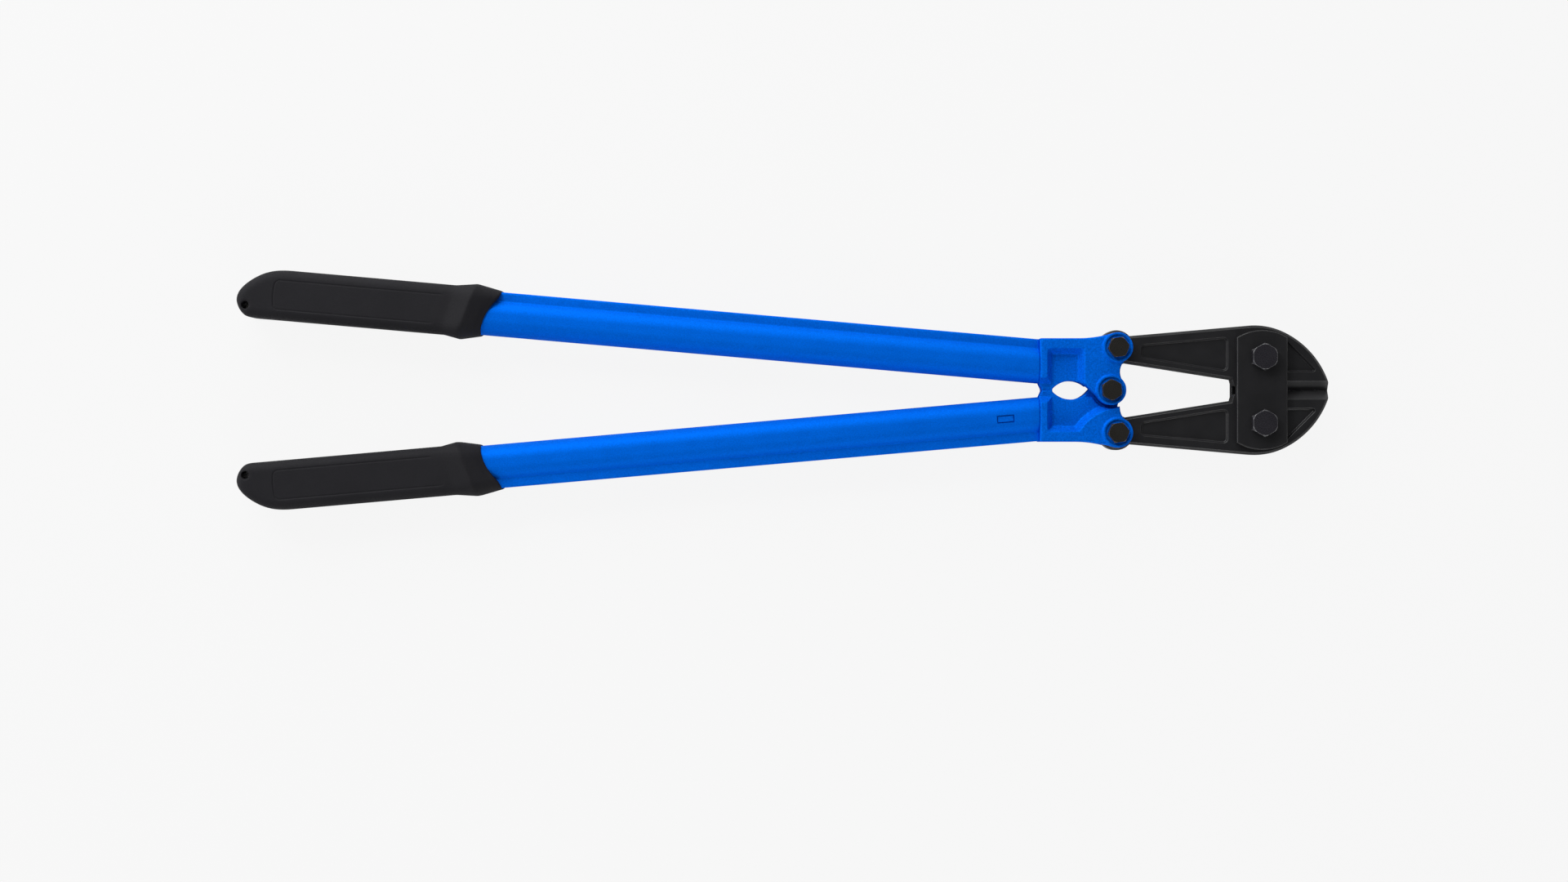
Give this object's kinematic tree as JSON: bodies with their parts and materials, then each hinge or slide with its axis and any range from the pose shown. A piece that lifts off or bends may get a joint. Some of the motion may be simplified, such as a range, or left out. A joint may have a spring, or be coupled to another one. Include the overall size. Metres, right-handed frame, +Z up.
{
  "type": "bolt cutters",
  "caption": "Long-handled bolt cutters with strapped bevelled jaws, compound pivot linkage, blue fittings and tubes, and flared black grips.",
  "frame": {"origin": "on the surface the tool lies on, under the middle of its bounding box, on the tool's axis", "axes": "+X towards the jaws, +Y towards the left handle, +Z up, square to the jaws' flat faces and along all pivots"},
  "size_m": [0.7499, 0.1642, 0.0388],
  "materials": {
    "blue_paint": "blue enamel with a fine cast grain, semi-gloss",
    "jaw_steel": "black oxide on forged steel, matte",
    "strap_steel": "black oxide on flat steel plate, matte",
    "jaw_bolt_steel": "blackened steel, satin",
    "link_bolt_steel": "blackened steel, slightly warm, satin",
    "grip": "soft black vinyl, fine matte grain"
  },
  "bodies": {
    "head": {"top_strap": "strap_steel", "bottom_strap": "strap_steel", "left_jaw_bolt": "jaw_bolt_steel", "left_jaw_washer": "jaw_bolt_steel", "left_jaw_nut": "jaw_bolt_steel", "right_jaw_bolt": "jaw_bolt_steel", "right_jaw_washer": "jaw_bolt_steel", "right_jaw_nut": "jaw_bolt_steel"},
    "left_jaw": {"left_jaw": "jaw_steel"},
    "right_jaw": {"right_jaw": "jaw_steel"},
    "left_handle": {"left_fitting": "blue_paint", "left_tube": "blue_paint", "left_grip": "grip", "left_link_bolt": "link_bolt_steel", "left_link_washer": "link_bolt_steel", "left_link_nut": "link_bolt_steel", "pivot_bolt": "link_bolt_steel", "pivot_washer": "link_bolt_steel", "pivot_nut": "link_bolt_steel"},
    "right_handle": {"right_fitting": "blue_paint", "right_tube": "blue_paint", "right_grip": "grip", "right_link_bolt": "link_bolt_steel", "right_link_washer": "link_bolt_steel", "right_link_nut": "link_bolt_steel"}
  },
  "joints": [
    {"name": "centre_pivot", "type": "hinge", "parent": "left_handle", "child": "right_handle", "pos_m": [0.2241, 0, 0.0194], "axis": [0, 0, 1], "range_deg": [0, 100]},
    {"name": "left_link_pivot", "type": "hinge", "parent": "left_jaw", "child": "left_handle", "pos_m": [0.2287, 0.0292, 0.0194], "axis": [0, 0, -1], "range_deg": [0, 57.1]},
    {"name": "left_jaw_pivot", "type": "hinge", "parent": "head", "child": "left_jaw", "pos_m": [0.3282, 0.02265, 0.0194], "axis": [0, 0, 1], "range_deg": [0, 7.1]},
    {"name": "right_jaw_pivot", "type": "hinge", "parent": "head", "child": "right_jaw", "pos_m": [0.3282, -0.02265, 0.0194], "axis": [0, 0, -1], "range_deg": [0, 7.1]}
  ],
  "couplings": [
    {"joint": "left_link_pivot", "follows": "centre_pivot", "ratio": 0.571},
    {"joint": "left_jaw_pivot", "follows": "centre_pivot", "ratio": 0.07102},
    {"joint": "right_jaw_pivot", "follows": "centre_pivot", "ratio": 0.07102}
  ]
}
